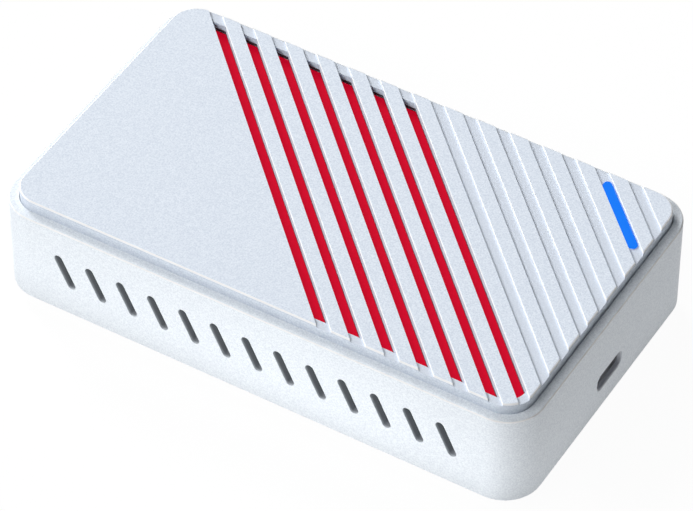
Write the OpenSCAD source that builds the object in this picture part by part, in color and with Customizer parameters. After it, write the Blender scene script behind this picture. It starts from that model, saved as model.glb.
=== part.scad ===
// Video capture box: a vented housing, a lift-off ribbed faceplate over a printed insert sheet,
// and a circuit board with one data socket, two video sockets and a cooled processor.
// Millimetres. The origin is the middle of the footprint, on the surface that the feet stand on.
// +X points to the end with the data socket, -Y to the front wall, +Z up.

/* [Housing] */
// Length of the housing
body_l = 112.6; // [108:0.2:130]
// Width of the housing
body_w = 66.2; // [63:0.2:80]
// Height of the housing walls
wall_h = 20.6; // [20.2:0.2:30]
// Thickness of the housing walls
wall_t = 2; // [1.6:0.1:2.4]
// Radius of the upright corners
corner_r = 7.5; // [6.5:0.25:9]
// Round on the upper outer edge of the walls
rim_round = 0.3; // [0.2:0.1:0.8]
// Thickness of the deck under the faceplate
deck_t = 2; // [1.8:0.1:2.4]
// Depth of the tray that seats the faceplate and the sheet
seat_depth = 0.6; // [0.5:0.1:0.8]
// Outer radius of the screw bosses
boss_r = 2.9; // [2.4:0.1:3.2]
// Distance from the inner walls to the boss axes
boss_inset = 4.7; // [4.2:0.1:5.2]
// Thickness of the webs that tie the bosses to the walls
web_t = 1.2; // [0.8:0.1:1.6]
// Depth of those webs below the deck
web_h = 9; // [4:0.5:12]

/* [Vents] */
// Number of vent slots in each long wall
vent_count = 13; // [5:1:15]
// Distance between the slots
vent_pitch = 6.8; // [5:0.1:7]
// Length of a slot
vent_l = 8; // [5:0.1:10]
// Width of a slot
vent_w = 1.8; // [1:0.1:2.2]
// Lean of the slots from upright, in degrees
vent_lean = 25; // [0:0.5:30]
// Height of the slots' middle above the lower edge of the walls
vent_z = 10.5; // [8:0.1:12]

/* [Faceplate] */
// Height of the faceplate above the rim
plate_rise = 2.4; // [1.8:0.1:3]
// Distance from the outside of the walls to the faceplate's edge
plate_margin = 2.1; // [1.8:0.1:2.6]
// Gap between the faceplate and its seat
plate_gap = 0.15; // [0.1:0.05:0.3]
// Easing of the faceplate's upper edge
plate_ease = 0.3; // [0.1:0.05:0.5]
// Width of the skirt under the faceplate's edge
skirt_w = 1.2; // [0.8:0.1:1.4]
// Number of grooves
groove_count = 14; // [8:1:16]
// Number of grooves, counted from the left, that are cut through
slot_count = 7; // [1:1:8]
// Distance between grooves, square to them
groove_pitch = 5; // [4:0.1:6]
// Width of a groove
groove_w = 2.2; // [2:0.1:2.6]
// Depth of a groove
groove_d = 0.5; // [0.3:0.1:0.6]
// Chamfer on the right upper edge of a groove
groove_ease = 0.15; // [0.1:0.05:0.2]
// Angle between the grooves and the long walls, in degrees
groove_angle = 45; // [40:1:50]
// Distance from the faceplate's far right corner to the last groove's middle
groove_land = 7.2; // [6:0.1:9]
// Land between the faceplate's front edge and the ends of the cut-through slots
slot_land = 1.7; // [1.5:0.1:3]
// Land between the faceplate's rear edge and the other ends of those slots
slot_rear_land = 2.1; // [1.5:0.1:3]
// Radius of the pegs under the faceplate
peg_r = 1.1; // [0.8:0.1:1.2]
// Length of the pegs below the skirt
peg_l = 1.5; // [1:0.1:1.6]
// Distance from the faceplate's edges to the pegs
peg_inset = 3.4; // [3.2:0.1:3.8]
// Clearance round the pegs and below their tips
peg_gap = 0.1; // [0.05:0.05:0.15]

/* [Insert sheet] */
// Thickness of the printed sheet
sheet_t = 0.4; // [0.2:0.1:0.5]
// Distance from the faceplate's edge to the sheet's edge
sheet_inset = 2; // [1.8:0.1:2.6]
// Clearance of the sheet from the pegs, and of its clipped corner from the light bar
sheet_gap = 0.3; // [0.2:0.1:0.5]
// Room between the sheet and the faceplate above it
sheet_room = 0.4; // [0.2:0.1:0.6]

/* [Status light] */
// Length of the light bar
light_l = 17.7; // [10:0.1:20]
// Width of the light bar
light_w = 1.65; // [1.6:0.05:2]
// Distance along the groove from the faceplate's rear edge to the light bar
light_inset = 3.5; // [3:0.1:6]
// Depth of the bar's top below the faceplate's top
light_recess = 0.1; // [0:0.05:0.6]
// Clearance round the light bar
light_gap = 0.15; // [0.1:0.05:0.2]
// Width of the flange that stops the bar under the deck
flange_w = 1; // [0.6:0.1:1.2]
// Thickness of that flange
flange_t = 1; // [0.8:0.1:1.5]
// Length of the leg that carries light up from the board
leg_l = 6; // [3:0.5:8]
// Length of the lamp on the board
lamp_l = 3.2; // [2:0.1:4]
// Width of the lamp
lamp_w = 1.6; // [1:0.1:2]
// Height of the lamp
lamp_h = 0.9; // [0.6:0.1:1.5]
// Gap between the lamp and the leg
lamp_gap = 0.3; // [0.2:0.1:0.5]

/* [Bottom cover] */
// Thickness of the bottom cover
cover_t = 2; // [1.8:0.1:2.4]
// Depth of the cover below the walls
plinth_h = 1.2; // [0.8:0.1:1.4]
// Gap between the cover and the walls
cover_gap = 0.15; // [0.1:0.05:0.3]
// Thickness of the cover under a screw head
well_t = 1.4; // [1:0.1:1.6]
// Wall of the wells around the screw heads
well_wall = 1; // [0.8:0.1:1.2]
// Outer radius of the board's standoffs
standoff_r = 2.8; // [2.3:0.1:3.2]
// Distance from the board's short edges to the standoffs
standoff_x = 17; // [16:0.5:20]
// Distance from the board's long edges to the standoffs
standoff_y = 6; // [5:0.5:8]

/* [Feet] */
// Height of the feet below the cover
foot_h = 1.8; // [1:0.1:3]
// Radius of a foot
foot_r = 4.5; // [3:0.1:5]
// Depth of a foot's seat in the cover
foot_seat = 0.6; // [0.4:0.1:0.8]
// Gap round a foot in its seat
foot_gap = 0.15; // [0.1:0.05:0.3]
// Chamfer on a foot's lower edge
foot_chamfer = 0.5; // [0.2:0.1:0.8]
// Distance from the cover's short edges to the feet
foot_x = 15; // [14:0.5:20]
// Distance from the cover's long edges to the feet
foot_y = 7; // [6:0.5:9]

/* [Screws] */
// Radius of a screw's shank
shank_r = 1.05; // [0.9:0.05:1.2]
// Gap between a shank and its hole
shank_gap = 0.05; // [0.05:0.05:0.1]
// Radius of a screw's head
head_r = 2; // [1.8:0.1:2.3]
// Height of a screw's head
head_h = 1.5; // [1.2:0.1:1.8]
// Gap round a head in the cover
head_gap = 0.3; // [0.2:0.1:0.5]
// Depth of the cover's screw heads below its underside
head_recess = 0.5; // [0.2:0.1:0.8]
// Length of the cover screws below their heads
cover_screw_l = 8; // [6:0.5:10]
// Length of the board screws below their heads
board_screw_l = 4; // [3.5:0.1:4.5]
// Length of the cross recess in a head
cross_l = 2.4; // [2:0.1:3]
// Width of the cross recess
cross_w = 0.6; // [0.4:0.1:0.8]
// Depth of the cross recess
cross_d = 0.8; // [0.5:0.1:1]

/* [Circuit board] */
// Thickness of the board
board_t = 1.6; // [1.2:0.1:2]
// Gap between the board and the walls
board_gap = 0.6; // [0.4:0.1:1]

/* [Data socket] */
// Height of the socket's middle above the lower edge of the walls
data_z = 6.75; // [6.5:0.05:8]
// Width of the socket's shell
data_w = 8.94; // [8.9:0.01:9]
// Height of the shell
data_h = 3.26; // [3.2:0.01:3.3]
// Corner radius of the shell
data_r = 1.4; // [1.2:0.05:1.5]
// Depth of the shell
data_l = 7.5; // [7:0.1:9]
// Gap between the shell and its opening in the wall
data_gap = 0.35; // [0.2:0.05:0.5]
// Distance from the outside of the wall to the seal in that gap
seal_setback = 0.1; // [0.05:0.05:0.3]
// Width of the tongue
data_tongue_w = 6.7; // [6:0.1:7]
// Thickness of the tongue
data_tongue_t = 0.7; // [0.6:0.05:0.8]

/* [Video sockets] */
// Distance from the middle to each video socket
video_y = 13; // [10:0.5:14]
// Width of a video socket's shell
video_w = 15; // [14.8:0.1:15.4]
// Height of a video socket's shell
video_h = 5.8; // [5.6:0.1:6]
// Depth of a video socket's shell
video_l = 12; // [11:0.5:13]
// Width of the slope at each lower corner
video_slope_w = 1.6; // [1:0.1:2]
// Height of the slope at each lower corner
video_slope_h = 2; // [1.5:0.1:2.5]
// Gap between a shell and its opening in the wall
video_gap = 0.4; // [0.2:0.1:0.6]
// Width of a video socket's tongue
video_tongue_w = 11.2; // [10:0.1:12]
// Thickness of that tongue
video_tongue_t = 0.9; // [0.8:0.1:1.2]

/* [Socket shells] */
// Wall of the shells
shell_t = 0.35; // [0.25:0.05:0.45]
// Distance from the outside of the walls to the shells' mouths
shell_setback = 0.8; // [0.4:0.1:1.4]
// Distance from a shell's mouth to its tongue
tongue_setback = 1; // [0.6:0.1:1.5]
// Depth of the block that carries a tongue
tongue_root = 2; // [1.5:0.1:3]
// Gap between a shell and the block or the seal that fits it
core_gap = 0.05; // [0.03:0.01:0.08]

/* [Cooling] */
// Side of the processor's package
cpu_side = 23; // [17:1:25]
// Height of the processor
cpu_h = 2.2; // [1.5:0.1:2.6]
// Side of the thermal pad
pad_side = 20; // [14:1:23]
// Thickness of the thermal pad
pad_t = 1; // [0.5:0.1:1.4]
// Length of the heatsink
sink_l = 50; // [44:1:52]
// Width of the heatsink
sink_w = 34; // [30:1:35]
// Thickness of the heatsink's base
sink_base = 2; // [1.5:0.1:2.6]
// Height of the fins
fin_h = 5.5; // [3:0.5:6]
// Thickness of a fin
fin_t = 1.2; // [0.8:0.1:1.6]
// Number of fins
fin_count = 15; // [8:1:17]
// Radius of the heatsink's pins
pin_r = 1.4; // [1:0.1:1.6]
// Radius of the pins' heads
pin_head_r = 2.6; // [2.2:0.1:3]
// Height of the pins' heads
pin_head_h = 1.2; // [0.8:0.1:1.6]
// Radius of the barbs below the board
barb_r = 2; // [1.8:0.1:2.2]
// Height of the barbs
barb_h = 1; // [0.8:0.1:1.4]
// Distance from the heatsink's edges to the pins
pin_inset = 4; // [3.5:0.1:5]
// Gap round the pins
pin_gap = 0.2; // [0.1:0.05:0.3]

/* [Board parts] */
// Side of the receiver and driver packages
link_chip = 9; // [7:0.5:10]
// Side of the data controller's package
data_chip = 8; // [6:0.5:10]
// Height of the flat packages
chip_h = 1.1; // [0.8:0.1:1.4]
// Length of a memory package
memory_l = 12; // [10:0.5:13]
// Width of a memory package
memory_w = 8; // [7:0.5:9]
// Length of the flash package
flash_l = 6; // [5:0.5:8]
// Width of the flash package
flash_w = 5; // [4:0.5:6]
// Length of a crystal's can
crystal_l = 5; // [3:0.1:5]
// Width of a crystal's can
crystal_w = 3.2; // [2.5:0.1:3.2]
// Corner radius of a crystal's can
crystal_r = 0.8; // [0.4:0.1:1]
// Height of a crystal's can
crystal_h = 1; // [0.7:0.1:1.4]
// Side of a power inductor
coil_side = 6; // [5:0.5:7]
// Corner radius of a power inductor
coil_r = 1.2; // [0.6:0.1:2]
// Height of a power inductor
coil_h = 3; // [2:0.1:4]
// Radius of a capacitor's can
can_r = 2.5; // [2:0.1:3]
// Overhang of a capacitor's base round its can
can_lip = 0.2; // [0.1:0.1:0.4]
// Height of a capacitor
can_h = 5.4; // [4.5:0.1:6]
// Height of a capacitor's base
can_base = 0.9; // [0.6:0.1:1.2]
// Distance between neighbouring parts in a row
part_space = 3; // [2:0.5:4]
// Distance from the board's long edges to the rows of parts
row_inset = 1; // [0.6:0.1:1.5]

/* [Hidden] */
$fn = 64;
// Overrun of a cutting shape past the face it cuts
cut = 1;

// Heights, from the surface up
z_cover = foot_h;
z_wall = z_cover + plinth_h;
z_floor = z_cover + cover_t;
z_head = z_cover + head_recess + head_h;
z_well = z_head + well_t;
z_rim = z_wall + wall_h;
z_deck = z_rim - seat_depth;
z_ceiling = z_deck - deck_t;
z_sheet = z_deck + sheet_t;
z_skin = z_sheet + sheet_room;
z_top = z_rim + plate_rise;
z_groove = z_top - groove_d;
z_data = z_wall + data_z;
z_board = z_data - data_h / 2;
z_board_under = z_board - board_t;
z_video = z_board + video_h / 2;
z_pad = z_board + cpu_h;
z_sink = z_pad + pad_t;
z_fins = z_sink + sink_base;
z_light = z_top - light_recess;

// Outlines that follow the housing
inner_l = body_l - 2 * wall_t;
inner_w = body_w - 2 * wall_t;
inner_r = corner_r - wall_t;
cover_l = inner_l - 2 * cover_gap;
cover_w = inner_w - 2 * cover_gap;
cover_r = inner_r - cover_gap;
board_l = inner_l - 2 * board_gap;
board_w = inner_w - 2 * board_gap;
plate_l = body_l - 2 * plate_margin;
plate_w = body_w - 2 * plate_margin;
plate_r = corner_r - plate_margin;

// Places of repeated pieces
boss_x = inner_l / 2 - boss_inset;
boss_y = inner_w / 2 - boss_inset;
standoff_px = board_l / 2 - standoff_x;
standoff_py = board_w / 2 - standoff_y;
foot_px = cover_l / 2 - foot_x;
foot_py = cover_w / 2 - foot_y;
pin_places = [for (k = [-1, 1]) [k * (sink_l / 2 - pin_inset), k * (sink_w / 2 - pin_inset)]];
data_mouth = body_l / 2 - shell_setback;
video_mouth = -data_mouth;
link_x = video_mouth + video_l + part_space / 2 + link_chip / 2;
data_chip_x = data_mouth - data_l - part_space - data_chip / 2;
rear_row = board_w / 2 - row_inset;
front_row = -rear_row;

// Grooves: distance of a groove's middle line from the origin, square to the grooves
strip_l = plate_l + plate_w;
corner_s = plate_l / 2 * sin(groove_angle) + plate_w / 2 * cos(groove_angle);
function groove_s(i) = corner_s - groove_land - (groove_count - 1 - i) * groove_pitch;
// The light bar lies in the last groove but one, measured along it from the rear edge
light_s = groove_s(groove_count - 2);
light_start = (light_s * cos(groove_angle) - plate_w / 2) / sin(groove_angle);
light_t = light_start + light_inset + light_l / 2;

// Pegs: the left pair stands in the faceplate's corners
peg_x = plate_l / 2 - peg_inset;
peg_y = plate_w / 2 - peg_inset;
// The rear right peg stands on the land beyond the last groove
rear_peg_shift = groove_s(groove_count - 0.5) - peg_x * sin(groove_angle) - peg_y * cos(groove_angle);
rear_peg = [peg_x + rear_peg_shift * sin(groove_angle), peg_y + rear_peg_shift * cos(groove_angle)];
// The front right peg keeps to the middle of the first rib in from its corner
front_peg_s = peg_x * sin(groove_angle) - peg_y * cos(groove_angle);
front_rib = floor((front_peg_s - groove_s(0)) / groove_pitch - 0.5);
front_rib_x = (groove_s(front_rib + 0.5) + peg_y * cos(groove_angle)) / sin(groove_angle);
front_peg_x = front_rib < -1 ? peg_x : front_rib_x;
peg_places = [[-peg_x, -peg_y], [-peg_x, peg_y], [front_peg_x, -peg_y], rear_peg];

// Flat outlines
module rounded_rect(l, w, r) {
    square([l - 2 * r, w], center = true);
    square([l, w - 2 * r], center = true);
    for (x = [-1, 1], y = [-1, 1])
        translate([x * (l / 2 - r), y * (w / 2 - r)])
            circle(r);
}

module stadium(l, w) {
    square([l - w, w], center = true);
    for (x = [-1, 1])
        translate([x * (l - w) / 2, 0])
            circle(w / 2);
}

module video_outline(w, h) {
    polygon([
        [-w / 2, h / 2],
        [w / 2, h / 2],
        [w / 2, video_slope_h - h / 2],
        [w / 2 - video_slope_w, -h / 2],
        [video_slope_w - w / 2, -h / 2],
        [-w / 2, video_slope_h - h / 2]
    ]);
}

// Solids shared by several pieces
module slab(l, w, r, z0, z1) {
    translate([0, 0, z0])
        linear_extrude(z1 - z0)
            rounded_rect(l, w, r);
}

// A slab whose upper edge is rounded all the way along
module soft_slab(l, w, r, e, z0, z1) {
    slab(l, w, r, z0, z1 - e);
    slab(l - 2 * e, w - 2 * e, r - e, z0, z1);
    for (x = [-1, 1], y = [-1, 1])
        translate([x * (l / 2 - r), y * (w / 2 - r), z1 - e])
            rotate_extrude()
                translate([r - e, 0])
                    circle(e);
    for (y = [-1, 1])
        translate([0, y * (w / 2 - e), z1 - e])
            rotate([0, 90, 0])
                cylinder(r = e, h = l - 2 * r, center = true);
    for (x = [-1, 1])
        translate([x * (l / 2 - e), 0, z1 - e])
            rotate([90, 0, 0])
                cylinder(r = e, h = w - 2 * r, center = true);
}

// Section of a bevel layer: it draws in by c over the height h, upwards and downwards
module bevel_section(half, c, h) {
    polygon([[c - half, -h], [half - c, -h], [half, 0], [half - c, h], [c - half, h], [-half, 0]]);
}

// One slope of an eased edge. Its lower half reaches into the layer that it stands on.
module bevel_layer(l, w, r, c, h, z0) {
    translate([0, 0, z0]) {
        rotate([90, 0, 0])
            linear_extrude(w - 2 * r, center = true)
                bevel_section(l / 2, c, h);
        rotate([90, 0, 90])
            linear_extrude(l - 2 * r, center = true)
                bevel_section(w / 2, c, h);
        at_corners(l / 2 - r, w / 2 - r) {
            cylinder(r1 = r, r2 = r - c, h = h);
            translate([0, 0, -h])
                cylinder(r1 = r - c, r2 = r, h = h);
        }
    }
}

// A slab whose upper edge is eased by two slopes
module eased_slab(l, w, r, e, z0, z1) {
    a = e * (1 - sqrt(0.5));
    slab(l, w, r, z0, z1 - e);
    bevel_layer(l, w, r, a, e - a, z1 - e);
    bevel_layer(l - 2 * a, w - 2 * a, r - a, e - a, a, z1 - a);
}

module post(r, z0, z1) {
    translate([0, 0, z0])
        cylinder(r = r, h = z1 - z0);
}

// An outline drawn in Y and Z, drawn out from x0 to x1
module along_x(x0, x1) {
    translate([x0, 0, 0])
        rotate([90, 0, 90])
            linear_extrude(x1 - x0)
                children();
}

module at_corners(x, y) {
    for (i = [-1, 1], j = [-1, 1])
        translate([i * x, j * y, 0])
            children();
}

module at_places(places) {
    for (p = places)
        translate([p.x, p.y, 0])
            children();
}

module at_light() {
    rotate([0, 0, -groove_angle])
        translate([light_t, light_s, 0])
            children();
}

module light_hole(gap, z0, z1) {
    at_light()
        translate([0, 0, z0])
            linear_extrude(z1 - z0)
                stadium(light_l + 2 * gap, light_w + 2 * gap);
}

// A pan-head screw with its head standing on z = 0
module screw(length) {
    post(shank_r, -length, 0);
    difference() {
        post(head_r, 0, head_h);
        for (a = [0, 90])
            rotate([0, 0, a])
                translate([-cross_l / 2, -cross_w / 2, head_h - cross_d])
                    cube([cross_l, cross_w, cross_d + cut]);
    }
}

// A flat package that stands on the board
module package(x, y, l, w, h) {
    translate([x - l / 2, y - w / 2, z_board])
        cube([l, w, h]);
}

// A slab drawn in from the faceplate's outline
module seat_slab(inset, z0, z1) {
    slab(plate_l - 2 * inset, plate_w - 2 * inset, plate_r - inset, z0, z1);
}

// Housing
module vents() {
    for (side = [0, 180], i = [0:vent_count - 1])
        rotate([0, 0, side])
            translate([(i - (vent_count - 1) / 2) * vent_pitch, -body_w / 2 - cut, z_wall + vent_z])
                rotate([-90, 0, 0])
                    linear_extrude(wall_t + 2 * cut)
                        rotate(90 - vent_lean)
                            stadium(vent_l, vent_w);
}

module boss_webs() {
    for (i = [-1, 1], j = [-1, 1])
        translate([i * boss_x, j * boss_y, z_ceiling - web_h])
            for (side = [[i, 0], [0, j]])
                translate([side.x * boss_inset / 2, side.y * boss_inset / 2, web_h / 2])
                    cube([
                        abs(side.x) * (boss_inset - web_t) + web_t,
                        abs(side.y) * (boss_inset - web_t) + web_t,
                        web_h
                    ], center = true);
}

module main_housing() {
    color("#e4eaf2")
        difference() {
            union() {
                difference() {
                    soft_slab(body_l, body_w, corner_r, rim_round, z_wall, z_rim);
                    slab(inner_l, inner_w, inner_r, z_wall - cut, z_ceiling);
                }
                at_corners(boss_x, boss_y)
                    post(boss_r, z_well, z_deck - deck_t / 2);
                boss_webs();
            }
            seat_slab(-plate_gap, z_deck, z_rim + cut);
            at_places(peg_places)
                post(peg_r + peg_gap, z_deck - peg_l - peg_gap, z_rim + cut);
            light_hole(light_gap, z_ceiling - cut, z_rim + cut);
            vents();
            along_x(body_l / 2 - wall_t - cut, body_l / 2 + cut)
                translate([0, z_data])
                    rounded_rect(data_w + 2 * data_gap, data_h + 2 * data_gap, data_r + data_gap);
            along_x(-body_l / 2 - cut, -body_l / 2 + wall_t + cut)
                for (y = [-1, 1])
                    translate([y * video_y, z_video])
                        video_outline(video_w + 2 * video_gap, video_h + 2 * video_gap);
            at_corners(boss_x, boss_y)
                post(shank_r + shank_gap, z_well - cut, z_head + cover_screw_l + cut);
        }
}

module bottom_cover() {
    color("#dfe5ee")
        difference() {
            union() {
                slab(cover_l, cover_w, cover_r, z_cover, z_floor);
                at_corners(boss_x, boss_y)
                    post(head_r + head_gap + well_wall, z_cover, z_well);
                at_corners(standoff_px, standoff_py)
                    post(standoff_r, z_cover, z_board_under);
            }
            at_corners(boss_x, boss_y) {
                post(head_r + head_gap, z_cover - cut, z_head);
                post(shank_r + shank_gap, z_cover, z_well + cut);
            }
            at_corners(standoff_px, standoff_py)
                post(shank_r + shank_gap, z_board - board_screw_l - head_gap, z_board);
            at_corners(foot_px, foot_py)
                post(foot_r + foot_gap, z_cover - cut, z_cover + foot_seat);
        }
}

// Faceplate, sheet and light
module grooves() {
    half = groove_w / 2;
    flank = groove_d - groove_ease;
    rotate([0, 0, -groove_angle])
        for (i = [0:groove_count - 1])
            translate([0, groove_s(i), z_groove])
                rotate([90, 0, 90])
                    linear_extrude(strip_l, center = true)
                        polygon([
                            [-half, 0],
                            [half, 0],
                            [half, flank],
                            [half + groove_ease, groove_d],
                            [half + groove_ease, groove_d + cut],
                            [-half, groove_d + cut]
                        ]);
}

module slots() {
    intersection() {
        rotate(-groove_angle)
            for (i = [0:slot_count - 1])
                translate([0, groove_s(i)])
                    square([strip_l, groove_w], center = true);
        translate([0, (slot_land - slot_rear_land) / 2])
            rounded_rect(plate_l - 2 * slot_land, plate_w - slot_land - slot_rear_land, plate_r - slot_land);
    }
}

module faceplate() {
    color("#dfe8f3") {
        difference() {
            eased_slab(plate_l, plate_w, plate_r, plate_ease, z_deck, z_top);
            seat_slab(skirt_w, z_deck - cut, z_skin);
            grooves();
            translate([0, 0, z_deck])
                linear_extrude(z_top - z_deck)
                    slots();
            light_hole(light_gap, z_deck, z_top + cut);
        }
        at_places(peg_places)
            post(peg_r, z_deck - peg_l, (z_skin + z_groove) / 2);
    }
}

module insert_sheet() {
    color("#d10b2a")
        difference() {
            seat_slab(sheet_inset, z_deck, z_sheet);
            at_places(peg_places)
                post(peg_r + sheet_gap, z_deck - cut, z_sheet + cut);
            rotate([0, 0, -groove_angle])
                translate([-strip_l / 2, light_s - light_w / 2 - light_gap - sheet_gap, z_deck - cut])
                    cube([strip_l, strip_l, sheet_t + 2 * cut]);
        }
}

module light_guide() {
    color("#1e80fa")
        at_light() {
            translate([0, 0, z_ceiling - flange_t])
                linear_extrude(z_light - z_ceiling + flange_t)
                    stadium(light_l, light_w);
            translate([0, 0, z_ceiling - flange_t])
                linear_extrude(flange_t)
                    stadium(light_l + 2 * flange_w, light_w + 2 * flange_w);
            translate([-leg_l / 2, -light_w / 2, z_board + lamp_h + lamp_gap])
                cube([leg_l, light_w, z_ceiling - flange_t - z_board - lamp_h - lamp_gap]);
        }
}

module status_lamp() {
    color("#f4f1dc")
        at_light()
            translate([-lamp_l / 2, -lamp_w / 2, z_board])
                cube([lamp_l, lamp_w, lamp_h]);
}

// Circuit board and sockets
module board_outline() {
    difference() {
        square([board_l, board_w], center = true);
        at_corners(boss_x, boss_y)
            circle(boss_r + board_gap);
        at_corners(board_l / 2, board_w / 2)
            square([board_l - 2 * boss_x, board_w - 2 * boss_y], center = true);
        at_corners(standoff_px, standoff_py)
            circle(shank_r + shank_gap);
        at_places(pin_places)
            circle(pin_r + pin_gap);
    }
}

module main_board() {
    color("#12512f")
        translate([0, 0, z_board_under])
            linear_extrude(board_t)
                board_outline();
}

module data_socket_shell() {
    color("#b9bcc1") {
        along_x(data_mouth - data_l, data_mouth)
            translate([0, z_data])
                difference() {
                    rounded_rect(data_w, data_h, data_r);
                    rounded_rect(data_w - 2 * shell_t, data_h - 2 * shell_t, data_r - shell_t);
                }
        along_x(data_mouth - data_l, data_mouth - data_l + shell_t)
            translate([0, z_data])
                rounded_rect(data_w, data_h, data_r);
    }
}

module data_socket_tongue() {
    back = data_mouth - data_l + shell_t;
    inset = 2 * (shell_t + core_gap);
    color("#1b1c1f") {
        along_x(back, back + tongue_root)
            translate([0, z_data])
                rounded_rect(data_w - inset, data_h - inset, data_r - inset / 2);
        along_x(back, data_mouth - tongue_setback)
            translate([0, z_data])
                square([data_tongue_w, data_tongue_t], center = true);
    }
}

module data_seal() {
    outer = 2 * (data_gap - core_gap);
    inner = 2 * core_gap;
    color("#3d3f43")
        along_x(body_l / 2 - wall_t, body_l / 2 - seal_setback)
            translate([0, z_data])
                difference() {
                    rounded_rect(data_w + outer, data_h + outer, data_r + outer / 2);
                    rounded_rect(data_w + inner, data_h + inner, data_r + inner / 2);
                }
}

module video_shell(y) {
    color("#b9bcc1") {
        along_x(video_mouth, video_mouth + video_l)
            translate([y, z_video])
                difference() {
                    video_outline(video_w, video_h);
                    video_outline(video_w - 2 * shell_t, video_h - 2 * shell_t);
                }
        along_x(video_mouth + video_l - shell_t, video_mouth + video_l)
            translate([y, z_video])
                video_outline(video_w, video_h);
    }
}

module video_core(y) {
    back = video_mouth + video_l - shell_t;
    inset = 2 * (shell_t + core_gap);
    color("#1b1c1f") {
        along_x(back - tongue_root, back)
            translate([y, z_video])
                video_outline(video_w - inset, video_h - inset);
        along_x(video_mouth + tongue_setback, back)
            translate([y, z_video])
                square([video_tongue_w, video_tongue_t], center = true);
    }
}

// Cooling
module video_processor() {
    color("#26282b")
        package(0, 0, cpu_side, cpu_side, cpu_h);
}

module thermal_pad() {
    color("#8f9aa3")
        translate([-pad_side / 2, -pad_side / 2, z_pad])
            cube([pad_side, pad_side, pad_t]);
}

module heatsink() {
    step = (sink_l - fin_t) / (fin_count - 1);
    color("#9aa0a6")
        difference() {
            translate([-sink_l / 2, -sink_w / 2, z_sink]) {
                cube([sink_l, sink_w, sink_base]);
                for (i = [0:fin_count - 1])
                    translate([i * step, 0, 0])
                        cube([fin_t, sink_w, sink_base + fin_h]);
            }
            at_places(pin_places) {
                post(pin_r + pin_gap, z_sink - cut, z_fins + cut);
                post(pin_head_r + pin_gap, z_fins, z_fins + fin_h + cut);
            }
        }
}

module heatsink_pins() {
    color("#2b2d30")
        at_places(pin_places) {
            post(pin_r, z_board_under - barb_h, z_fins + pin_head_h);
            post(pin_head_r, z_fins, z_fins + pin_head_h);
            translate([0, 0, z_board_under - barb_h])
                cylinder(r1 = pin_r, r2 = barb_r, h = barb_h);
        }
}

// Parts on the board
module memory_chips() {
    color("#26282b")
        for (k = [-1, 1])
            package(k * (memory_l + part_space) / 2, rear_row - memory_w / 2, memory_l, memory_w, chip_h);
}

module data_controller() {
    color("#26282b")
        package(data_chip_x, 0, data_chip, data_chip, chip_h);
}

module video_receiver() {
    color("#26282b")
        package(link_x, video_y, link_chip, link_chip, chip_h);
}

module video_driver() {
    color("#26282b")
        package(link_x, -video_y, link_chip, link_chip, chip_h);
}

module flash_chip() {
    color("#26282b")
        package(data_chip_x, -(data_chip + flash_w) / 2 - part_space, flash_l, flash_w, chip_h);
}

module crystals() {
    color("#c3c6ca")
        for (p = [[data_chip_x, (data_chip + crystal_w) / 2 + part_space], [link_x, 0]])
            translate([p.x, p.y, 0])
                slab(crystal_l, crystal_w, crystal_r, z_board, z_board + crystal_h);
}

module power_inductors() {
    color("#4a4c50")
        for (k = [-1:1])
            translate([k * (coil_side + part_space), front_row + coil_side / 2, 0])
                slab(coil_side, coil_side, coil_r, z_board, z_board + coil_h);
}

module capacitors() {
    base_side = 2 * (can_r + can_lip);
    first = 1.5 * (coil_side + part_space) + base_side / 2;
    color("#b4b7bb")
        for (side = [-1, 1])
            translate([side * first, front_row + base_side / 2, 0]) {
                slab(base_side, base_side, can_base, z_board, z_board + can_base);
                post(can_r, z_board, z_board + can_h);
            }
}

// Fasteners and feet
module board_screws() {
    color("#9a9da2")
        at_corners(standoff_px, standoff_py)
            translate([0, 0, z_board])
                screw(board_screw_l);
}

module cover_screws() {
    color("#9a9da2")
        at_corners(boss_x, boss_y)
            translate([0, 0, z_head])
                mirror([0, 0, 1])
                    screw(cover_screw_l);
}

module foot(i, j) {
    color("#2a2b2d")
        translate([i * foot_px, j * foot_py, 0]) {
            cylinder(r1 = foot_r - foot_chamfer, r2 = foot_r, h = foot_chamfer);
            post(foot_r, foot_chamfer, z_cover + foot_seat);
        }
}

main_housing();
bottom_cover();
faceplate();
insert_sheet();
light_guide();
status_lamp();
main_board();
data_socket_shell();
data_socket_tongue();
data_seal();
video_shell(video_y);  // video_in_shell
video_core(video_y);  // video_in_core
video_shell(-video_y);  // video_out_shell
video_core(-video_y);  // video_out_core
video_processor();
thermal_pad();
heatsink();
heatsink_pins();
memory_chips();
data_controller();
video_receiver();
video_driver();
flash_chip();
crystals();
power_inductors();
capacitors();
board_screws();
cover_screws();
foot(-1, -1);  // foot_front_left
foot(1, -1);  // foot_front_right
foot(-1, 1);  // foot_rear_left
foot(1, 1);  // foot_rear_right
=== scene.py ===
import math

import bmesh
import bpy
from mathutils import Matrix, Quaternion, Vector


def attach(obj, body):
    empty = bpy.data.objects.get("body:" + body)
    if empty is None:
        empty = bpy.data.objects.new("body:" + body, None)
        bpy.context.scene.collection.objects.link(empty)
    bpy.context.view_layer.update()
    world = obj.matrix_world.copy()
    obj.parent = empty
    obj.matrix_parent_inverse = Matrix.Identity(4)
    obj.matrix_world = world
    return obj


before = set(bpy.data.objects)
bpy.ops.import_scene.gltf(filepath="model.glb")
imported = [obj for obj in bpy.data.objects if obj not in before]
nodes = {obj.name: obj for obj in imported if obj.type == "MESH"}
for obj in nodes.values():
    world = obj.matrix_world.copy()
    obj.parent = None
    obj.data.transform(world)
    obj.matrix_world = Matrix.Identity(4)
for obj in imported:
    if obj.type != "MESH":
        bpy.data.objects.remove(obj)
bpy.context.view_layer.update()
mm = 0.001
print("frame loaded:", len(nodes), "nodes")


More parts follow.
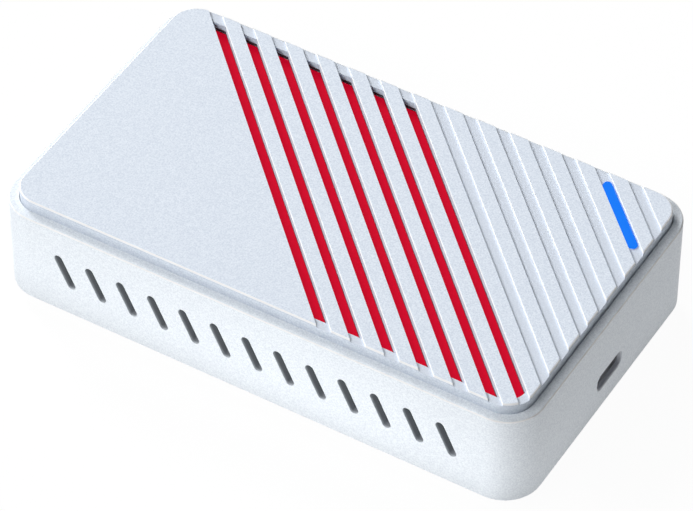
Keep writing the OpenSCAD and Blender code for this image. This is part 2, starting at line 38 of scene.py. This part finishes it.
def srgb(hexText):  # sRGB hex to linear RGBA
    values = [int(hexText[i:i + 2], 16) / 255 for i in (1, 3, 5)]
    linear = [v / 12.92 if v <= 0.04045 else ((v + 0.055) / 1.055) ** 2.4 for v in values]
    return (*linear, 1.0)


def perMm(size):  # texture scale for marks of this many mm, on Object coordinates in metres
    return 1 / (size * mm)


def addNode(tree, kind, inputs=None, **settings):
    node = tree.nodes.new(kind)
    for name, value in settings.items():
        setattr(node, name, value)
    for socket, value in (inputs or {}).items():
        if isinstance(value, bpy.types.NodeSocket):
            tree.links.new(value, node.inputs[socket])
        else:
            node.inputs[socket].default_value = value
    return node


def startMaterial(name, constants):
    material = bpy.data.materials.new(name)
    material.use_nodes = True
    tree = material.node_tree
    surface = tree.nodes["Principled BSDF"].inputs
    for socket, value in constants.items():
        surface[socket].default_value = value
    place = addNode(tree, "ShaderNodeTexCoord").outputs["Object"]
    return material, tree, surface, place


def dress(material, *names):
    for name in names:
        slots = nodes[name].data.materials
        slots.clear()
        slots.append(material)


def addPiece(bm, name, material):
    mesh = bpy.data.meshes.new(name)
    bm.to_mesh(mesh)
    bm.free()
    mesh.materials.append(material)
    piece = bpy.data.objects.new(name, mesh)
    bpy.context.scene.collection.objects.link(piece)
    return piece


# camera, solved from the straight edges of the box
camera = {
    "spot": (284.25, -476.06, 564.90),  # mm
    "forward": (-0.36227, 0.60740, -0.70698),
    "roll": 0.136,  # degrees
    "lens": 217.3,
    "sensor": 36.0,
    "near": 0.05,  # metres
}


def makeCamera(c):
    data = bpy.data.cameras.new("camera")
    data.lens = c["lens"]
    data.sensor_width = c["sensor"]
    data.clip_start = c["near"]
    eye = bpy.data.objects.new("camera", data)
    eye.location = Vector(c["spot"]) * mm
    look = Vector(c["forward"]).to_track_quat("-Z", "Y")
    eye.rotation_mode = "QUATERNION"
    eye.rotation_quaternion = look @ Quaternion((0, 0, 1), math.radians(c["roll"]))
    bpy.context.scene.collection.objects.link(eye)
    bpy.context.scene.camera = eye


makeCamera(camera)
bpy.context.scene.view_settings.view_transform = "Standard"
print("camera set")

# white paper, one softbox on the left and somewhat behind, a wide one in front, in metres and watts
studio = {
    "white": (1, 1, 1, 1),
    "floorSize": 6.0,
    # light that the paper sends back, full up to the core's share of the reach
    "pools": [
        {"middle": (0.20, 0.10, 0.0), "reach": (0.31, 0.30, 1.0), "core": 0.5, "glow": 1.0},
        {"middle": (-0.055, -0.07, 0.0), "reach": (0.17, 0.11, 1.0), "core": 0.42, "glow": 1.56},
    ],
    # the paper that the box covers, with its contact shade and the dimmer strip along the left end
    "under": {"middle": (-0.03, 0.0), "half": (0.0895, 0.0388), "glow": 0.5},
    "floorShadow": 0.05,  # share of the floor's white that the shadow can take
    "floorLit": 0.9,  # how much of that share the lamps give in the open
    "lamps": {
        "leftSoftbox": {"spot": (-3.60, 2.08, 2.92), "size": (1.8, 1.8), "power": 184.0},
        "frontSoftbox": {"spot": (-1.80, -3.12, 3.60), "size": (5.6, 2.0), "power": 214.0},
    },
}


def shownToEye(tree):  # 1 on rays that the picture sees straight, in gloss or through clear stuff
    path = addNode(tree, "ShaderNodeLightPath").outputs
    seen = path["Is Camera Ray"]
    for ray in ("Is Glossy Ray", "Is Transmission Ray"):
        either = {0: seen, 1: path[ray]}
        seen = addNode(tree, "ShaderNodeMath", either, operation="ADD", use_clamp=True).outputs[0]
    return seen


def makeRoom(s):
    world = bpy.data.worlds.new("paleRoom")
    world.use_nodes = True
    bpy.context.scene.world = world
    tree = world.node_tree
    tree.nodes.clear()
    sky = addNode(tree, "ShaderNodeBackground", {"Color": s["white"], "Strength": shownToEye(tree)})
    addNode(tree, "ShaderNodeOutputWorld", {"Surface": sky.outputs[0]})


def paperGlow(tree, s):  # what the paper sends back to the box, pool by pool
    place = addNode(tree, "ShaderNodeTexCoord").outputs["Object"]
    glow = 0.0
    for pool in s["pools"]:
        off = addNode(tree, "ShaderNodeVectorMath", {0: place, 1: pool["middle"]}, operation="SUBTRACT")
        part = addNode(tree, "ShaderNodeVectorMath", {0: off.outputs[0], 1: pool["reach"]}, operation="DIVIDE")
        away = addNode(tree, "ShaderNodeVectorMath", {0: part.outputs[0]}, operation="LENGTH").outputs["Value"]
        fall = {"Value": away, "From Min": pool["core"], "From Max": 1.0, "To Min": pool["glow"], "To Max": 0.0}
        lit = addNode(tree, "ShaderNodeMapRange", fall, interpolation_type="SMOOTHSTEP").outputs["Result"]
        glow = addNode(tree, "ShaderNodeMath", {0: glow, 1: lit}, operation="ADD").outputs[0]
    axes = addNode(tree, "ShaderNodeSeparateXYZ", {0: place}).outputs
    hidden = 1.0
    for axis, middle, half in zip("XY", s["under"]["middle"], s["under"]["half"]):
        near = addNode(tree, "ShaderNodeMath", {0: axes[axis], 1: middle, 2: half}, operation="COMPARE")
        hidden = addNode(tree, "ShaderNodeMath", {0: hidden, 1: near.outputs[0]}, operation="MULTIPLY").outputs[0]
    covered = {"Factor": hidden, "A": glow, "B": s["under"]["glow"]}
    return addNode(tree, "ShaderNodeMix", covered).outputs["Result"]


def paperSweep(s):
    sweep = bpy.data.materials.new("paperSweep")
    sweep.use_nodes = True
    tree = sweep.node_tree
    tree.nodes.clear()
    bounce = addNode(tree, "ShaderNodeEmission", {"Color": s["white"], "Strength": paperGlow(tree, s)})
    share = s["floorShadow"]
    shade = addNode(tree, "ShaderNodeBsdfDiffuse", {"Color": (share, share, share, 1)})
    rest = 1.0 - share * s["floorLit"]
    base = addNode(tree, "ShaderNodeEmission", {"Color": s["white"], "Strength": rest})
    shown = addNode(tree, "ShaderNodeAddShader", {0: shade.outputs[0], 1: base.outputs[0]})
    faces = {0: shownToEye(tree), 1: bounce.outputs[0], 2: shown.outputs[0]}
    top = addNode(tree, "ShaderNodeMixShader", faces)
    # open from below, so the underside shows
    below = addNode(tree, "ShaderNodeNewGeometry").outputs["Backfacing"]
    clear = addNode(tree, "ShaderNodeBsdfTransparent")
    both = addNode(tree, "ShaderNodeMixShader", {0: below, 1: top.outputs[0], 2: clear.outputs[0]})
    addNode(tree, "ShaderNodeOutputMaterial", {"Surface": both.outputs[0]})
    return sweep


def makeFloor(s):
    bm = bmesh.new()
    bmesh.ops.create_grid(bm, x_segments=1, y_segments=1, size=s["floorSize"] / 2)
    floor = addPiece(bm, "floor", paperSweep(s))


def makeLamps(s):
    for name, lamp in s["lamps"].items():
        data = bpy.data.lights.new(name, "AREA")
        data.shape = "RECTANGLE"
        data.size, data.size_y = lamp["size"]
        data.energy = lamp["power"]
        light = bpy.data.objects.new(name, data)
        light.location = lamp["spot"]
        light.rotation_euler = (-Vector(lamp["spot"])).to_track_quat("-Z", "Y").to_euler()
        bpy.context.scene.collection.objects.link(light)


makeRoom(studio)
makeFloor(studio)
makeLamps(studio)
print("studio lit")

# moulded ABS: cool white, dead matt, with the fine speckle of an eroded mould; sizes in mm
absSkin = {
    "ior": 1.53,
    "speckle": 0.30,  # the real grit is under 0.1 mm, drawn larger so that it shows
    "detail": 2.0,
    "roughness": 0.6,  # of the speckle's pattern
    "spread": (0.3, 0.7),
    "matt": (0.70, 0.52),
    "relief": 0.3,
    "depth": 0.02,
}
absLook = {
    "housing": {
        "pale": "#F2F8FD", "dull": "#D8DFE7",
        # painted highlight: the rim's rounded outer edge toned whiter
        "paintedLight": {"rim": {"tone": "#FFFFFF", "share": 0.9, "height": 23.44, "reach": 0.13}},
        # inside, painted shade: grey on the inner walls, reaching into the vents from this depth to that one
        "paintedShade": {
            "tone": "#9A9EA4", "shadeInset": (0.1, 0.6), "core": (48.8, 25.6), "round": 7.5,
            "middle": 12.85, "half": 9.55,
        },
    },
    "faceplate": {
        "pale": "#EDF5FF", "dull": "#D2DCEA",
        # painted shade: the grooves' floors toned darker; painted highlight: the top edges and the grooves' eased
        # edges toned whiter
        "paintedLight": {
            "floorShade": {"tone": "#BCC3CF", "share": 0.44, "height": 25.5, "reach": 0.05},
            # painted highlight on the eased edges
            "edges": {"tone": "#FFFFFF", "share": 0.9, "height": 25.84, "reach": 0.14},
        },
        # underneath, painted shade: dark grey on the underside and a little way up the slots' walls, where their far
        # ends fall in shade
        "paintedShade": {
            "tone": "#4A4D54", "shadeInset": (0.5, 0.8), "core": (48.8, 25.6), "round": 5.4,
            "middle": 23.7, "half": 0.6,
        },
    },
    "cover": {"pale": "#ECF2F8", "dull": "#D3DAE2", "paintedLight": {}},
}


# painted shade: where the shade is painted on the inner walls
def paintedShadeMask(tree, place, c):  # 1 inside the walls, from their depth under the rounded outline and their height
    flat = addNode(tree, "ShaderNodeVectorMath", {0: place, 1: (1, 1, 0)}, operation="MULTIPLY").outputs[0]
    half = addNode(tree, "ShaderNodeVectorMath", {0: flat}, operation="ABSOLUTE").outputs[0]
    core = (c["core"][0] * mm, c["core"][1] * mm, 0)
    past = addNode(tree, "ShaderNodeVectorMath", {0: half, 1: core}, operation="SUBTRACT").outputs[0]
    outer = addNode(tree, "ShaderNodeVectorMath", {0: past, 1: (0, 0, 0)}, operation="MAXIMUM").outputs[0]
    reach = addNode(tree, "ShaderNodeVectorMath", {0: outer}, operation="LENGTH").outputs["Value"]
    edges = [(c["round"] - depth) * mm for depth in c["shadeInset"]]
    inward = {"Value": reach, "From Min": edges[0], "From Max": edges[1]}
    shadeInset = addNode(tree, "ShaderNodeMapRange", inward).outputs["Result"]
    height = addNode(tree, "ShaderNodeSeparateXYZ", {0: place}).outputs["Z"]
    band = {0: height, 1: c["middle"] * mm, 2: c["half"] * mm}
    walls = addNode(tree, "ShaderNodeMath", band, operation="COMPARE").outputs[0]
    return addNode(tree, "ShaderNodeMath", {0: shadeInset, 1: walls}, operation="MULTIPLY").outputs[0]


def mouldedAbs(name, look, skin):
    material, tree, surface, place = startMaterial(name, {"IOR": skin["ior"]})
    grains = {
        "Vector": place, "Scale": perMm(skin["speckle"]), "Detail": skin["detail"], "Roughness": skin["roughness"],
    }
    grit = addNode(tree, "ShaderNodeTexNoise", grains).outputs["Fac"]
    wide = {"Value": grit, "From Min": skin["spread"][0], "From Max": skin["spread"][1]}
    spread = addNode(tree, "ShaderNodeMapRange", wide).outputs["Result"]
    tint = {"Factor": spread, "A": srgb(look["dull"]), "B": srgb(look["pale"])}
    tone = addNode(tree, "ShaderNodeMix", tint, data_type="RGBA").outputs["Result"]
    height = addNode(tree, "ShaderNodeSeparateXYZ", {0: place}).outputs["Z"]
    # painted light: each band of height toned darker for painted shade or whiter for a painted highlight
    for band in look["paintedLight"].values():
        level = {0: height, 1: band["height"] * mm, 2: band["reach"] * mm}
        inside = addNode(tree, "ShaderNodeMath", level, operation="COMPARE").outputs[0]
        share = addNode(tree, "ShaderNodeMath", {0: inside, 1: band["share"]}, operation="MULTIPLY").outputs[0]
        toned = {"Factor": share, "A": tone, "B": srgb(band["tone"])}
        tone = addNode(tree, "ShaderNodeMix", toned, data_type="RGBA").outputs["Result"]
    # painted shade inside the walls
    if "paintedShade" in look:
        shadedTone = {"Factor": paintedShadeMask(tree, place, look["paintedShade"]), "A": tone, "B": srgb(look["paintedShade"]["tone"])}
        tone = addNode(tree, "ShaderNodeMix", shadedTone, data_type="RGBA").outputs["Result"]
    tree.links.new(tone, surface["Base Color"])
    matt = {"Value": grit, "To Min": skin["matt"][0], "To Max": skin["matt"][1]}
    tree.links.new(addNode(tree, "ShaderNodeMapRange", matt).outputs["Result"], surface["Roughness"])
    pits = {"Height": grit, "Strength": skin["relief"], "Distance": skin["depth"] * mm}
    tree.links.new(addNode(tree, "ShaderNodeBump", pits).outputs["Normal"], surface["Normal"])
    return material


dress(mouldedAbs("mouldedAbsHousing", absLook["housing"], absSkin), "main_housing")
dress(mouldedAbs("mouldedAbsFaceplate", absLook["faceplate"], absSkin), "faceplate")
dress(mouldedAbs("mouldedAbsCover", absLook["cover"], absSkin), "bottom_cover")

# screen-printed polyester film: one strong flat red; its glow is painted light, an emission that keeps the red
# bright in the slots' shade
filmLook = {
    "ink": "#CC0828", "thin": "#D40B2E", "deep": 0.45, "mottle": 1.2, "detail": 3.0,
    # painted light: the film glows though it is no lamp
    "constants": {"IOR": 1.57, "Roughness": 0.6, "Specular IOR Level": 0.02, "Emission Strength": 0.66},
}


def printedFilm(look):
    material, tree, surface, place = startMaterial("printedPolyesterFilm", look["constants"])
    dots = {"Vector": place, "Scale": perMm(look["mottle"]), "Detail": look["detail"]}
    mottle = addNode(tree, "ShaderNodeTexNoise", dots).outputs["Fac"]
    tone = {"Factor": mottle, "A": srgb(look["ink"]), "B": srgb(look["thin"])}
    ink = addNode(tree, "ShaderNodeMix", tone, data_type="RGBA").outputs["Result"]
    # the base colour darkened by this share, since the painted glow gives the rest
    shade = {"Factor": look["deep"], "A": ink, "B": (0, 0, 0, 1)}
    tree.links.new(addNode(tree, "ShaderNodeMix", shade, data_type="RGBA").outputs["Result"], surface["Base Color"])
    # painted light: the ink glows
    tree.links.new(ink, surface["Emission Color"])
    return material


dress(printedFilm(filmLook), "insert_sheet")
nodes["insert_sheet"].visible_diffuse = False  # the deep slots catch no red from the film

# frosted polycarbonate light bar: glows an even blue, lit from the board below
barLook = {
    "glow": "#1A7EFA", "dim": "#1676F4", "frost": 0.4, "detail": 1.0,
    "constants": {
        "Base Color": srgb("#02102E"), "IOR": 1.58, "Roughness": 0.6, "Specular IOR Level": 0.02,
        "Emission Strength": 1.0,
    },
}


def frostedBar(look):
    material, tree, surface, place = startMaterial("frostedPolycarbonate", look["constants"])
    haze = {"Vector": place, "Scale": perMm(look["frost"]), "Detail": look["detail"]}
    frost = addNode(tree, "ShaderNodeTexNoise", haze).outputs["Fac"]
    glow = {"Factor": frost, "A": srgb(look["dim"]), "B": srgb(look["glow"])}
    blue = addNode(tree, "ShaderNodeMix", glow, data_type="RGBA").outputs["Result"]
    tree.links.new(blue, surface["Emission Color"])
    return material


dress(frostedBar(barLook), "light_guide")
print("shell, film and light bar finished")

# finishes with an even grain: two tones, the grain's size in mm, how dull it is and how deep it feels
grainPattern = {"detail": 3.0, "relief": 0.4, "even": (1, 1, 1)}
grainLooks = {
    # nickel-plated steel, deep drawn: faint streaks along the draw
    "drawnNickelSteel": {
        "light": "#C4C7CB", "dark": "#A4A7AC", "grain": 0.25, "dull": (0.24, 0.40), "depth": 0.004,
        "stretch": (0.08, 1, 1), "constants": {"Metallic": 1.0},
        "on": ["data_socket_shell", "video_in_shell", "video_out_shell", "crystals"],
    },
    # liquid crystal polymer, moulded: black with a dull skin
    "mouldedBlackPolymer": {
        "light": "#26272B", "dark": "#191A1D", "grain": 0.3, "dull": (0.45, 0.62), "depth": 0.01,
        "constants": {"IOR": 1.60}, "on": ["video_in_core", "video_out_core"],
    },
    # the same polymer, painted light: toned pale grey instead of black, so the socket's shaded inside reads as one
    # soft grey
    "mouldedPolymerPaintedLight": {
        "light": "#DADCE1", "dark": "#CED0D5", "grain": 0.3, "dull": (0.5, 0.65), "depth": 0.01,
        "constants": {"IOR": 1.60}, "on": ["data_socket_tongue"],
    },
    # silicone rubber, moulded: even grey, no shine; the grey is made paler as painted light, for the opening's
    # shaded inside
    "mouldedSiliconePaintedLight": {
        "light": "#D4D7DE", "dark": "#C8CBD2", "grain": 0.3, "dull": (0.7, 0.85), "depth": 0.01,
        "constants": {"IOR": 1.41}, "on": ["data_seal"],
    },
    # natural rubber, moulded: black with a dusty bloom
    "mouldedRubber": {
        "light": "#2E2F31", "dark": "#1D1E20", "grain": 0.4, "dull": (0.75, 0.95), "depth": 0.02,
        "constants": {"IOR": 1.52},
        "on": ["foot_front_left", "foot_front_right", "foot_rear_left", "foot_rear_right"],
    },
    # zinc-plated steel: bright grey with a cloudy passivated film
    "zincPlatedSteel": {
        "light": "#B9BDC2", "dark": "#8E939A", "grain": 0.8, "dull": (0.28, 0.45), "depth": 0.01,
        "constants": {"Metallic": 1.0}, "on": ["board_screws", "cover_screws"],
    },
    # aluminium, extruded and thinly anodised: die lines along the fins
    "extrudedAluminium": {
        "light": "#BCC0C4", "dark": "#989DA3", "grain": 0.3, "dull": (0.34, 0.50), "depth": 0.01,
        "stretch": (1, 0.03, 1), "constants": {"Metallic": 1.0}, "on": ["heatsink"],
    },
    # silica-filled epoxy, moulded: charcoal packages with a fine gritty skin
    "mouldedEpoxy": {
        "light": "#2C2E31", "dark": "#1F2124", "grain": 0.2, "dull": (0.50, 0.72), "depth": 0.01,
        "constants": {"IOR": 1.58},
        "on": ["video_processor", "memory_chips", "data_controller", "video_receiver", "video_driver", "flash_chip"],
    },
    # alumina-filled silicone sheet: putty grey, soft and slightly blotched
    "castThermalSilicone": {
        "light": "#9CA7AF", "dark": "#828D96", "grain": 0.6, "dull": (0.80, 0.95), "depth": 0.03,
        "constants": {"IOR": 1.41}, "on": ["thermal_pad"],
    },
    # nylon, moulded: dark with a faint waxy sheen
    "mouldedNylon": {
        "light": "#33353A", "dark": "#25272A", "grain": 0.4, "dull": (0.45, 0.60), "depth": 0.01,
        "constants": {"IOR": 1.53}, "on": ["heatsink_pins"],
    },
    # ferrite powder, pressed with resin: grey and visibly granular
    "pressedFerrite": {
        "light": "#5B5D61", "dark": "#3C3E42", "grain": 0.22, "dull": (0.65, 0.85), "depth": 0.03,
        "constants": {"IOR": 1.70}, "on": ["power_inductors"],
    },
    # epoxy lens of the lamp, cast: water-clear over a blue glow
    "castLampEpoxy": {
        "light": "#E4EEFA", "dark": "#C6D8F0", "grain": 0.4, "dull": (0.15, 0.25), "depth": 0.005,
        "constants": {"IOR": 1.53, "Emission Color": srgb("#2F86FF"), "Emission Strength": 0.6},
        "on": ["status_lamp"],
    },
    # copper alloy, stamped and gold plated: bright with faint stamping streaks
    "goldPlatedBronze": {
        "light": "#E9C067", "dark": "#CFA24A", "grain": 0.12, "dull": (0.20, 0.32), "depth": 0.002,
        "stretch": (0.1, 1, 1), "constants": {"Metallic": 1.0}, "on": [],
    },
}


def grainFinish(name, look, pattern):
    material, tree, surface, place = startMaterial(name, look["constants"])
    pulled = {"Vector": place, "Scale": look.get("stretch", pattern["even"])}
    drawn = addNode(tree, "ShaderNodeMapping", pulled).outputs["Vector"]
    grain = {"Vector": drawn, "Scale": perMm(look["grain"]), "Detail": pattern["detail"]}
    marks = addNode(tree, "ShaderNodeTexNoise", grain).outputs["Fac"]
    tone = {"Factor": marks, "A": srgb(look["dark"]), "B": srgb(look["light"])}
    tree.links.new(addNode(tree, "ShaderNodeMix", tone, data_type="RGBA").outputs["Result"], surface["Base Color"])
    sheen = {"Value": marks, "To Min": look["dull"][0], "To Max": look["dull"][1]}
    tree.links.new(addNode(tree, "ShaderNodeMapRange", sheen).outputs["Result"], surface["Roughness"])
    relief = {"Height": marks, "Strength": pattern["relief"], "Distance": look["depth"] * mm}
    tree.links.new(addNode(tree, "ShaderNodeBump", relief).outputs["Normal"], surface["Normal"])
    dress(material, *look["on"])
    return material


grainFinishes = {name: grainFinish(name, look, grainPattern) for name, look in grainLooks.items()}
print("grained finishes:", len(grainFinishes))

# glass laminate under green solder mask: etched copper shows as paler raised lines, the routed edge as bare
# straw colour; sizes in mm
boardLook = {
    "mask": "#0E4829", "copper": "#1E6C41", "edge": "#B5AA80",
    "unit": 1.0, "run": 7.0, "pitch": 0.9, "track": 0.12, "relief": 0.5, "foil": 0.035,
    "middle": 7.32, "halfEdge": 0.78,  # heights of the bare edge
    "constants": {"IOR": 1.55, "Roughness": 0.32},
}


def maskedLaminate(look):
    material, tree, surface, place = startMaterial("etchedGlassLaminate", look["constants"])
    mask = srgb(look["mask"])
    tracks = addNode(tree, "ShaderNodeTexBrick", {
        "Vector": place, "Scale": perMm(look["unit"]), "Brick Width": look["run"], "Row Height": look["pitch"],
        "Mortar Size": look["track"], "Color1": mask, "Color2": mask, "Mortar": srgb(look["copper"]),
    }).outputs
    height = addNode(tree, "ShaderNodeSeparateXYZ", {0: place}).outputs["Z"]
    side = {0: height, 1: look["middle"] * mm, 2: look["halfEdge"] * mm}
    bare = addNode(tree, "ShaderNodeMath", side, operation="COMPARE").outputs[0]
    tone = {"Factor": bare, "A": tracks["Color"], "B": srgb(look["edge"])}
    tree.links.new(addNode(tree, "ShaderNodeMix", tone, data_type="RGBA").outputs["Result"], surface["Base Color"])
    relief = {"Height": tracks["Fac"], "Strength": look["relief"], "Distance": look["foil"] * mm}
    tree.links.new(addNode(tree, "ShaderNodeBump", relief).outputs["Normal"], surface["Normal"])
    return material


dress(maskedLaminate(boardLook), "main_board")

# capacitors: a bright drawn aluminium can above a moulded black base
canLook = {
    "can": "#C6C9CD", "streak": "#A8ACB1", "base": "#1B1C1F",
    "seam": 9.02, "grain": 0.3,  # mm, the seam's height
    "stretch": (1, 1, 0.05), "detail": 3.0,
    "dull": (0.55, 0.28),  # base and can
}


def canOnBase(look):
    material, tree, surface, place = startMaterial("drawnAluminiumCan", {})
    drawn = addNode(tree, "ShaderNodeMapping", {"Vector": place, "Scale": look["stretch"]}).outputs["Vector"]
    streaks = {"Vector": drawn, "Scale": perMm(look["grain"]), "Detail": look["detail"]}
    marks = addNode(tree, "ShaderNodeTexNoise", streaks).outputs["Fac"]
    height = addNode(tree, "ShaderNodeSeparateXYZ", {0: place}).outputs["Z"]
    metal = addNode(tree, "ShaderNodeMath", {0: height, 1: look["seam"] * mm}, operation="GREATER_THAN").outputs[0]
    can = {"Factor": marks, "A": srgb(look["streak"]), "B": srgb(look["can"])}
    sheet = addNode(tree, "ShaderNodeMix", can, data_type="RGBA").outputs["Result"]
    tone = {"Factor": metal, "A": srgb(look["base"]), "B": sheet}
    tree.links.new(addNode(tree, "ShaderNodeMix", tone, data_type="RGBA").outputs["Result"], surface["Base Color"])
    tree.links.new(metal, surface["Metallic"])
    sheen = {"Value": metal, "To Min": look["dull"][0], "To Max": look["dull"][1]}
    tree.links.new(addNode(tree, "ShaderNodeMapRange", sheen).outputs["Result"], surface["Roughness"])
    return material


dress(canOnBase(canLook), "capacitors")
print("board and capacitors finished")

# contact strips on both faces of each socket's tongue, in mm, their edges eased by a share of the thickness
videoRow = {
    "ends": (-54.1, -46.4), "face": 0.45, "pitch": 1.0, "wide": 0.45, "thick": 0.08, "ease": 0.3,
    "upper": 10, "lower": 9,
}
contactRows = {
    "data_contacts": {
        "ends": (50.6, 54.2), "face": 0.35, "pitch": 0.5, "wide": 0.25, "thick": 0.06, "ease": 0.3,
        "upper": 12, "lower": 12, "middle": (0.0, 9.75),
    },
    "video_in_contacts": {**videoRow, "middle": (13.0, 11.02)},
    "video_out_contacts": {**videoRow, "middle": (-13.0, 11.02)},
}


def makeContacts(name, c):
    bm = bmesh.new()
    strip = Vector((c["ends"][1] - c["ends"][0], c["wide"], c["thick"])) * mm
    for count, side in ((c["upper"], 1), (c["lower"], -1)):
        for i in range(count):
            across = c["middle"][0] + (i - (count - 1) / 2) * c["pitch"]
            spot = Vector((sum(c["ends"]) / 2, across, c["middle"][1] + side * c["face"])) * mm
            bmesh.ops.create_cube(bm, size=1.0, matrix=Matrix.LocRotScale(spot, None, strip))
    ease = c["thick"] * c["ease"] * mm
    bmesh.ops.bevel(bm, geom=bm.edges[:], offset=ease, affect="EDGES", segments=2, profile=0.5, material=-1)
    strips = addPiece(bm, name, grainFinishes["goldPlatedBronze"])
    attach(strips, "casing")


for name, row in contactRows.items():
    makeContacts(name, row)
print("contacts made:", len(contactRows))
